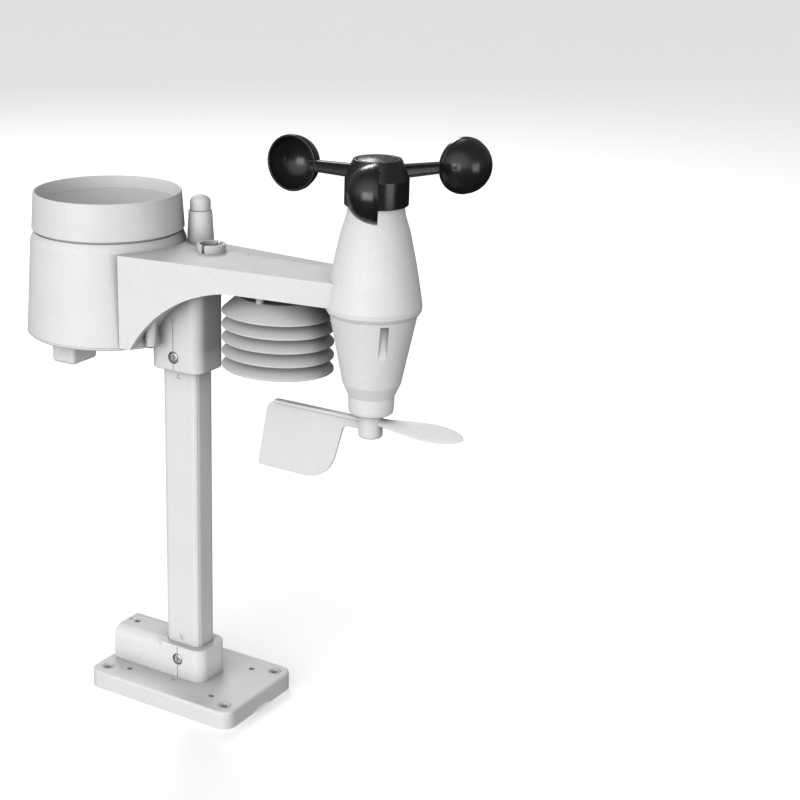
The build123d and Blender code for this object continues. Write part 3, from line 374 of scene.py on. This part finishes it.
# ---------------------------------------------------------------- rain gauge and antenna
def rain_collector():
    """Collector ring with a rounded rim and an inner skirt, and the deep funnel inside it."""
    low, high = node_box("rain_collector")
    ring_r, top = (high.x - low.x) / 2, high.z
    ring_low, floor_z, spout_z = top - 24.0, top - 8.0, low.z
    ring = [
        (ring_r, ring_low, 0.3), (ring_r - 0.2, ring_low + 2.0, 1.0), (ring_r - 1.75, top, 0.9),
        (ring_r - 3.1, top, 0.7), (ring_r - 3.9, floor_z, 0.1), (47.4, top - 9.6, 0.1),
        (47.4, top - 15.6, 0.4), (45.6, top - 15.6, 0.4), (45.6, top - 17.4, 0.4),
        (48.65, top - 17.4, 0.2), (48.65, ring_low, 0.3),
    ]
    funnel = [
        (ring_r - 3.6, floor_z + 0.1, 0.1), (3.2, top - 42.5, 2.5), (3.2, spout_z, 0.4), (5.0, spout_z, 0.4),
        (5.0, top - 43.5, 1.0), (47.3, top - 9.6, 0.1),
    ]
    axis = upright(*node_centre("rain_collector")[:2])
    ring_shape, funnel_shape = (moved(lathe(rounded(part, 0.4), 144), axis) for part in (ring, funnel))
    place("collector_ring", ring_shape, "rain_collector", "collector_plastic", ["rain_collector"])
    basin = place("collector_funnel", funnel_shape, "rain_collector", "collector_plastic")
    # Painted shade: the funnel gets its own copy of the collector plastic with deeper, longer-reaching
    # occlusion darkening for the shade down in the funnel.
    basin.data.materials[0] = textured_plastic("funnel_plastic_deep_painted_shade", COLLECTOR_WHITE, 0.5, shade=0.5, reach=0.06)


def antenna():
    """Tapered antenna post with a snapped-on domed cap."""
    low, high = node_box("antenna_post")
    x, y = node_centre("antenna_cap")[:2]
    foot, top = low.z, high.z
    post = [(7.2, foot), (9.1, foot), (7.7, top, 0.7), (5.8, top, 0.3)]
    place("antenna_tube", moved(lathe(rounded(post, 0.2)), upright(x, y)), "station", "housing_plastic",
          ["antenna_post"])
    low, high = node_box("antenna_cap")
    seat, shoulder = top + 0.1, high.z - 4.6
    cap = [(0, low.z), (5.5, low.z), (5.5, seat), (6.5, seat), (6.75, seat + 0.1), (6.88, seat + 0.4)]
    cap += [(6.85 * math.cos(a), shoulder + 4.6 * math.sin(a)) for a in arc_angles(16)[:-1]]
    cap.append((0, high.z))
    place("antenna_dome", moved(lathe(cap, closed=False), upright(x, y)), "station", "housing_plastic",
          ["antenna_cap"])


# ---------------------------------------------------------------- radiation shield
POST_R = 2.6
LOUVRE_WALL, LIP = 1.4, 1.2


def louvre_profile(z0, slope_in, height, hole):
    """Flared skirt with a rolled lip and a flat top, as insets from the outer oval."""
    top = z0 + height
    return rounded([
        (LIP, z0, 0.5), (0.0, z0, 0.55), (0.0, z0 + 1.3, 0.6), (slope_in, top, 0.8), (hole, top, 0.3),
        (hole, top - LOUVRE_WALL, 0.3), (slope_in + 1.1, top - LOUVRE_WALL, 0.6), (LIP, z0 + 1.5, 0.5),
    ], 0.4)


def radiation_shield():
    """Stack of oval louvres on four posts."""
    levels = ["shield_top"] + [f"louvre_{index}" for index in range(1, 5)]
    posts = shield_posts()
    for index, node in enumerate(levels):
        low, high = node_box(node)
        centre = (low + high) / 2
        half_x, half_y = (high.x - low.x) / 2, (high.y - low.y) / 2
        last, first = index == len(levels) - 1, index == 0
        slope_in, height = (10.4, 10.7) if first else (8.0, 8.6)
        if first or last:
            skirt = oval_cap(low.z, slope_in, height, half_x, half_y)
        else:
            skirt = lathe(louvre_profile(low.z, slope_in, height, 16.0), 144, half_x, half_y)
        parts = [moved(skirt, upright(centre.x, centre.y))]
        for x, y in posts:
            foot = low.z + height - 0.6
            tube = rounded([(0, foot), (POST_R, foot), (POST_R, high.z), (0, high.z)], 0.3, closed=False)
            parts.append(moved(lathe(tube, 32, closed=False), upright(x, y)))
        place(f"{node}_skin", joined(parts), "station", "shield_plastic", [node])


def oval_cap(z0, slope_in, height, half_x, half_y):
    """Louvre whose top is closed: its innermost rings shrink to a short ridge."""
    top = z0 + height
    reach = half_y - 0.01
    outline = rounded([
        (reach, top), (slope_in, top, 1.0), (0.0, z0 + 1.3, 0.6), (0.0, z0, 0.55), (LIP, z0, 0.5),
        (LIP, z0 + 1.5, 0.5), (slope_in + 1.1, top - LOUVRE_WALL, 0.6), (reach, top - LOUVRE_WALL),
    ], 0.4, closed=False)
    return lathe(outline, 144, half_x, half_y, closed=True)


def shield_posts():
    low, high = node_box("shield_screws")
    centre = (low + high) / 2
    reach_x, reach_y = (high.x - low.x) / 2 - 2.6, (high.y - low.y) / 2 - 2.6
    return [(centre.x - reach_x, centre.y), (centre.x + reach_x, centre.y),
            (centre.x, centre.y - reach_y), (centre.x, centre.y + reach_y)]


# ---------------------------------------------------------------- cup rotor
CUP_R, CUP_WALL, CUP_DEPTH = 17.2, 1.3, 1.2
CUP_REACH, CUP_RISE, CUP_PHASE = 59.5, 18.3, -60.0


def cup_profile():
    """Half section of one cup, its mouth up: thin dome, rolled lip."""
    shell = CUP_R - 0.25
    outside = [(shell * math.sin(a), -shell * math.cos(a)) for a in arc_angles(24)]
    inner = CUP_R - CUP_WALL
    inside = [(inner * math.sin(a), -inner * math.cos(a)) for a in reversed(arc_angles(24))]
    lip = rounded([(shell, -1.9), (CUP_R, -1.5, 0.4), (CUP_R, CUP_DEPTH, 0.45), (inner, CUP_DEPTH, 0.4),
                   (inner, 0.0)], 0.3, closed=False)
    outside = [point for point in outside if point[1] < -2.2]
    return outside + [tuple(point) for point in lip] + inside[1:]


def arc_angles(steps):
    return [math.pi / 2 * step / steps for step in range(steps + 1)]


def cup_arm():
    """Tapered arm of I section along +X, from the hub to the cup."""
    stations = []
    for x, half, flange in ((15.0, 4.0, 2.1), (19.5, 3.95, 2.0), (43.0, 3.35, 1.8), (46.5, 3.3, 1.8)):
        web, thick = 1.0, 1.1
        corners = [(-flange, -half), (flange, -half), (flange, thick - half), (web, thick - half + 0.3),
                   (web, half - thick - 0.3), (flange, half - thick), (flange, half), (-flange, half),
                   (-flange, half - thick), (-web, half - thick - 0.3), (-web, thick - half + 0.3),
                   (-flange, thick - half)]
        section = rounded(corners, 0.28, steps=2)
        stations.append([(x, y, z) for y, z in section])
    return loft(stations)


def cup_rotor():
    centre = node_centre("rotor_cap")
    bottom, top = node_box("cup_rotor")[0].z, node_box("rotor_cap")[0].z + 0.95
    cup_z = bottom + CUP_RISE
    shoulder = bottom + 15.6
    hub = [
        (17.2, bottom), (18.7, bottom, 0.3), (19.1, bottom + 0.5, 0.3), (19.1, shoulder, 1.2),
        (14.3, top, 0.7), (11.95, top, 0.3), (11.95, top - 1.0), (4.4, top - 1.0), (4.4, top - 3.4),
        (12.9, top - 3.4), (17.2, shoulder - 0.6),
    ]
    parts = [moved(lathe(rounded(hub, 0.25), 128), upright(centre.x, centre.y))]
    for turn in range(3):
        angle = math.radians(CUP_PHASE + 120 * turn)
        spin = upright(centre.x, centre.y, cup_z) @ Matrix.Rotation(angle, 4, "Z")
        parts.append(moved(cup_arm(), spin))
        mouth = spin @ upright(CUP_REACH, 0) @ Matrix.Rotation(-math.pi / 2, 4, "X")
        parts.append(moved(lathe(cup_profile(), 96, closed=False), mouth))
    place("rotor", joined(parts), "cup_rotor", "rotor_plastic", ["cup_rotor"])


def rotor_disc():
    """Shallow domed disc in the top of the hub, with a moulded ring."""
    low, high = node_box("rotor_cap")
    centre = node_centre("rotor_cap")
    edge = (high.x - low.x) / 2
    profile = [(0, low.z), (edge, low.z), (edge, low.z + 0.9, 0.3), (edge - 1.3, low.z + 1.1, 0.6),
               (5.0, high.z - 0.25, 1.0), (0, high.z)]
    shape = moved(lathe(rounded(profile, 0.2, closed=False), closed=False), upright(centre.x, centre.y))
    place("rotor_disc", shape, "cup_rotor", "rotor_plastic", ["rotor_cap"])


# ---------------------------------------------------------------- wind vane
VANE_THICK, RAIL_HALF = 0.9, 2.4        # half thickness of the tail, half width of its top rail
POINTER_LEAN = 61.0


def flat_plate(outline, half, edge):
    """Plate across Y with softened edges, from an outline in x and z."""
    layers = []
    for y, inset in ((-half, edge), (-half + edge, 0.0), (half - edge, 0.0), (half, edge)):
        layers.append([inset_point(outline, index, inset, y) for index in range(len(outline))])
    return loft(layers)


def inset_point(outline, index, inset, y):
    """Outline point moved inwards along the mean of its neighbours' normals."""
    here, before, after = outline[index], outline[index - 1], outline[(index + 1) % len(outline)]
    along = (Vector(after) - Vector(before)).normalized()
    inward = Vector((-along.y, along.x))
    point = Vector(here) + inward * inset
    return (point.x, y, point.y)


def wind_vane():
    low, high = node_box("wind_vane")
    shaft = node_centre("vane_shaft")
    rail_z, hub_top, hub_low = high.z - 4.0, high.z, low.z + 35.6
    tail_low = low.z
    tail = rounded([
        (-75.6, rail_z - 1.6, 8.4), (-83.2, tail_low + 0.4, 2.0), (-29.6, tail_low, 30.0),
        (-19.0, rail_z - 7.6, 5.0), (-3.0, rail_z - 7.6, 0.1), (-3.0, rail_z - 1.6, 0.1),
    ], 1.0, steps=9)
    rail = rounded([(-RAIL_HALF, rail_z - 2.0), (RAIL_HALF, rail_z - 2.0), (RAIL_HALF, rail_z),
                    (-RAIL_HALF, rail_z)], 0.5, steps=3)
    rail_sections = []
    for x, scale in ((-70.2, 0.8), (-69.7, 0.97), (-69.0, 1.0), (-20.0, 1.0), (-2.0, 1.0)):
        rail_sections.append([(x, y * scale, rail_z - 1.0 + (z - rail_z + 1.0) * scale) for y, z in rail])
    hub = rounded([(0, hub_low), (7.45, hub_low, 1.9), (7.45, hub_top, 0.7), (0, hub_top)], 0.5, closed=False)
    parts = [flat_plate(tail, VANE_THICK, 0.35), loft(rail_sections), lathe(hub, closed=False)]
    parts.append(pointer(rail_z - 0.8))
    place("vane", moved(joined(parts), upright(shaft.x, shaft.y)), "wind_vane", "vane_plastic", ["wind_vane"])


def pointer(z):
    """Leaf-shaped counterweight: oval sections that flare into the hub."""
    start, end = 5.0, 64.2
    sections = []
    for step in range(49):
        s = min(step / 48, 0.9995)
        x = start + (end - start) * s
        flare = math.exp(-(x - start) / 5.0)
        half = 2.4 * (1 - s) + 20.8 * s**1.25 * (1 - s)**0.6 + 0.8 * flare
        thick = 1.15 * (1 - s**6) + 1.9 * flare + 0.02
        ring = []
        for corner in range(28):
            angle = 2 * math.pi * corner / 28
            ring.append((x, thick * math.sin(angle), half * math.cos(angle)))
        sections.append(ring)
    return moved(loft(sections), upright(0, 0, z) @ Matrix.Rotation(math.radians(-POINTER_LEAN), 4, "X"))


# ---------------------------------------------------------------- clamp screws
CROSS_TAPER = 0.7                       # width of the cross recess at its foot, of that at its mouth


def clamp_screw(node):
    """Pan-head screw with a cross recess, head to the front."""
    low, high = node_box(node)
    centre = (low + high) / 2
    head_r, head_h, shank_r = (high.x - low.x) / 2, 2.0, 1.9
    length = high.y - low.y - head_h
    profile = rounded([(0, head_h), (head_r * 0.72, head_h, 1.2), (head_r, 0.55, 0.8), (head_r, 0.0, 0.2),
                       (shank_r, 0.0), (shank_r, -length + 1.0), (shank_r - 0.8, -length), (0, -length)],
                      0.2, closed=False)
    front = Matrix.Translation((centre.x, low.y + head_h, centre.z)) @ Matrix.Rotation(math.pi / 2, 4, "X")
    head = moved(lathe(profile, 64, closed=False), front)
    screw = place(f"{node}_detailed", head, "station", "steel", [node])
    arm, half = head_r * 0.58, head_r * 0.14
    for wide_x, wide_y in ((arm, half), (half, arm)):
        mouth = [(-wide_x, -wide_y), (wide_x, -wide_y), (wide_x, wide_y), (-wide_x, wide_y)]
        recess = loft([[(x * CROSS_TAPER, y * CROSS_TAPER, head_h - 1.3) for x, y in mouth],
                       [(x, y, head_h + 0.2) for x, y in mouth]])
        cut(screw, moved(recess, front))


rain_collector()
antenna()
radiation_shield()
cup_rotor()
rotor_disc()
wind_vane()
for screw_node in ("base_clamp_screw", "head_clamp_screw"):
    clamp_screw(screw_node)


# ---------------------------------------------------------------- camera and light
CAMERA_TURN, CAMERA_DOWN = 34.80, 19.46
CAMERA_PLACE = (643.25, -863.09, 568.05)
AIM = (0.05, 0.0, 0.2)                  # point that the softboxes face, in metres
SOFTBOXES = {                           # place and size in metres, power in watts
    "front": ((-0.1, -2.6, 0.40), (1.6, 1.2), 33.0),
    "rear_left": ((-1.15, 1.35, 1.60), (0.8, 0.8), 20.0),
    "right": ((2.4, -0.5, 0.35), (1.2, 1.2), 17.0),
}
FRONT_LIGHT = (0.0, -1.0, 0.10)         # direction of the room's bright side
SKY_LOW, SKY_HIGH, SKY_FRONT = 0.10, 0.22, 1.62
FLOOR_HALF = 80.0


def camera():
    """Looks down on the front from the wind sensor's side, framed as in the product picture."""
    data = bpy.data.cameras.new("camera")
    data.sensor_width = 36.0
    data.lens = 77.23
    data.shift_x, data.shift_y = 0.1975, 0.04
    obj = bpy.data.objects.new("camera", data)
    obj.location = Vector(CAMERA_PLACE) * MM
    obj.rotation_euler = (math.pi / 2 - math.radians(CAMERA_DOWN), 0.0, math.radians(CAMERA_TURN))
    bpy.context.scene.collection.objects.link(obj)
    bpy.context.scene.camera = obj


def softbox(name, centre, size, power):
    data = bpy.data.lights.new(name, "AREA")
    data.shape = "RECTANGLE"
    data.size, data.size_y = size
    data.energy = power
    obj = bpy.data.objects.new(name, data)
    obj.location = centre
    obj.rotation_euler = (Vector(AIM) - Vector(centre)).to_track_quat("-Z", "Y").to_euler()
    bpy.context.scene.collection.objects.link(obj)


def map_range(tree, source, from_low, from_high, low, high):
    node = tree.nodes.new("ShaderNodeMapRange")
    node.interpolation_type = "SMOOTHSTEP"
    for socket, value in (("From Min", from_low), ("From Max", from_high), ("To Min", low), ("To Max", high)):
        node.inputs[socket].default_value = value
    tree.links.new(source, node.inputs["Value"])
    return node.outputs["Result"]


def surroundings():
    """White room: dim below, even above, with a broad bright side towards the front."""
    world = bpy.data.worlds.new("studio")
    world.use_nodes = True
    tree = world.node_tree
    direction = tree.nodes.new("ShaderNodeTexCoord").outputs["Generated"]
    height = tree.nodes.new("ShaderNodeSeparateXYZ")
    tree.links.new(direction, height.inputs["Vector"])
    facing = tree.nodes.new("ShaderNodeVectorMath")
    facing.operation = "DOT_PRODUCT"
    facing.inputs[1].default_value = Vector(FRONT_LIGHT).normalized()
    tree.links.new(direction, facing.inputs[0])
    lobe = map_range(tree, facing.outputs["Value"], 0.25, 1.0, SKY_HIGH, SKY_HIGH + SKY_FRONT)
    above = map_range(tree, height.outputs["Z"], -0.22, 0.22, SKY_LOW, 1.0)
    total = tree.nodes.new("ShaderNodeMath")
    total.operation = "MULTIPLY"
    tree.links.new(lobe, total.inputs[0])
    tree.links.new(above, total.inputs[1])
    background = tree.nodes["Background"]
    background.inputs["Color"].default_value = (1.0, 1.0, 1.0, 1.0)
    tree.links.new(total.outputs["Value"], background.inputs["Strength"])
    bpy.context.scene.world = world


def studio():
    surroundings()
    for name, (centre, size, power) in SOFTBOXES.items():
        softbox(name, centre, size, power)
    bpy.context.scene.view_settings.view_transform = "Standard"


def floor():
    """Plain white floor that takes a faint shadow and hardly lights the object."""
    mesh = bpy.data.meshes.new("floor")
    half = FLOOR_HALF
    corners = [(-half, -half, 0), (half, -half, 0), (half, half, 0), (-half, half, 0)]
    mesh.from_pydata(corners, [], [(0, 1, 2, 3)])
    obj = bpy.data.objects.new("floor", mesh)
    bpy.context.scene.collection.objects.link(obj)
    n = Nodes("floor")
    n.shader.inputs["Base Color"].default_value = (0.93, 0.93, 0.93, 1.0)
    n.shader.inputs["Roughness"].default_value = 0.9
    n.shader.inputs["Emission Color"].default_value = (1.0, 1.0, 1.0, 1.0)
    n.shader.inputs["Emission Strength"].default_value = 0.30
    mesh.materials.append(n.material)
    obj.visible_diffuse = False
    obj.visible_glossy = False
    obj.visible_shadow = False


camera()
studio()
floor()
